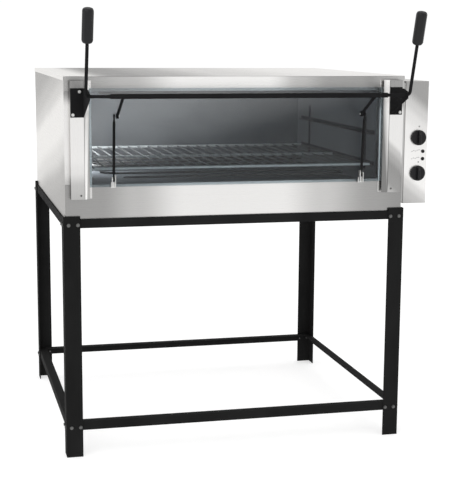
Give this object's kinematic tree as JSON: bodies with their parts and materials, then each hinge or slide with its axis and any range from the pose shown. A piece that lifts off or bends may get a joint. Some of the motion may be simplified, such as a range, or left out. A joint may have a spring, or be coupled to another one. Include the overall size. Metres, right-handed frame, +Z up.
{
  "type": "deck oven",
  "caption": "Electric deck oven with a tinted glass guillotine door raised by two front levers, a side control box and an open black angle-iron stand.",
  "frame": {"origin": "on the floor, under the middle of the whole object's bounding box: stand, body, control box and levers", "axes": "+Z up, the front with its door, levers and knobs towards -Y, the control box towards +X"},
  "size_m": [1.273, 1.327, 1.4986],
  "materials": {
    "stand_paint": "satin",
    "casing_steel": "satin",
    "track_steel": "satin",
    "chamber_steel": "satin",
    "rack_chrome": "polished",
    "element_sheath": "matte",
    "wool": "matte",
    "door_glass": "gloss",
    "lug_zinc": "satin",
    "gear_paint": "satin",
    "grip_plastic": "matte",
    "control_steel": "satin",
    "knob_plastic": "satin",
    "fitting_plastic": "matte"
  },
  "bodies": {
    "body": {"leg_front_left": "stand_paint", "leg_front_right": "stand_paint", "leg_rear_left": "stand_paint", "leg_rear_right": "stand_paint", "top_rail_front": "stand_paint", "top_rail_rear": "stand_paint", "top_rail_left": "stand_paint", "top_rail_right": "stand_paint", "low_rail_front": "stand_paint", "low_rail_rear": "stand_paint", "low_rail_left": "stand_paint", "low_rail_right": "stand_paint", "base_pan": "casing_steel", "back_panel": "casing_steel", "side_panel_left": "casing_steel", "side_panel_right": "casing_steel", "top_cover": "casing_steel", "front_header": "casing_steel", "front_sill": "casing_steel", "front_post_left": "casing_steel", "front_post_right": "casing_steel", "door_guide_left": "casing_steel", "door_guide_right": "casing_steel", "guide_track_left": "track_steel", "guide_track_right": "track_steel", "cavity_floor": "chamber_steel", "cavity_ceiling": "chamber_steel", "cavity_wall_left": "chamber_steel", "cavity_wall_right": "chamber_steel", "cavity_back": "chamber_steel", "rack_support_left": "chamber_steel", "rack_support_right": "chamber_steel", "rack": "rack_chrome", "thermostat_bulb": "rack_chrome", "lower_element": "element_sheath", "upper_element": "element_sheath", "insulation_jacket": "wool", "lever_bracket_left": "gear_paint", "lever_bracket_right": "gear_paint", "control_box": "control_steel", "control_fascia": "control_steel", "pilot_lamp_upper": "knob_plastic", "pilot_lamp_lower": "knob_plastic", "thermostat": "fitting_plastic", "selector_switch": "fitting_plastic", "cable_gland": "fitting_plastic"},
    "lift_gear": {"cross_shaft": "gear_paint", "crank_left": "gear_paint", "crank_right": "gear_paint", "lever_left": "gear_paint", "lever_right": "gear_paint", "grip_left": "grip_plastic", "grip_right": "grip_plastic"},
    "door": {"glass_pane": "door_glass", "lug_left": "lug_zinc", "lug_right": "lug_zinc"},
    "link_left": {"link_left": "gear_paint"},
    "link_right": {"link_right": "gear_paint"},
    "knob_upper": {"knob_upper": "knob_plastic"},
    "knob_lower": {"knob_lower": "knob_plastic"}
  },
  "joints": [
    {"name": "lever_turn", "type": "hinge", "parent": "body", "child": "lift_gear", "pos_m": [-0.0415, -0.56348, 1.226], "axis": [1, 0, 0], "range_deg": [0, 85]},
    {"name": "door_lift", "type": "slide", "parent": "body", "child": "door", "axis": [0, 0, 1], "range_m": [0, 0.2063]},
    {"name": "link_left_tilt", "type": "hinge", "parent": "door", "child": "link_left", "pos_m": [-0.4705, -0.41148, 0.948], "axis": [1, 0, 0], "range_deg": [0, 14.6]},
    {"name": "link_right_tilt", "type": "hinge", "parent": "door", "child": "link_right", "pos_m": [0.3875, -0.41148, 0.948], "axis": [1, 0, 0], "range_deg": [0, 14.6]},
    {"name": "knob_upper_turn", "type": "hinge", "parent": "body", "child": "knob_upper", "pos_m": [0.603, -0.38948, 1.07], "axis": [0, 1, 0], "range_deg": [0, 290]},
    {"name": "knob_lower_turn", "type": "hinge", "parent": "body", "child": "knob_lower", "pos_m": [0.603, -0.38948, 0.946], "axis": [0, 1, 0], "range_deg": [0, 270]}
  ],
  "couplings": [
    {"joint": "door_lift", "follows": "lever_turn", "m_per_rad": 0.13897},
    {"joint": "link_left_tilt", "follows": "lever_turn", "ratio": 0.17078},
    {"joint": "link_right_tilt", "follows": "lever_turn", "ratio": 0.17078}
  ]
}
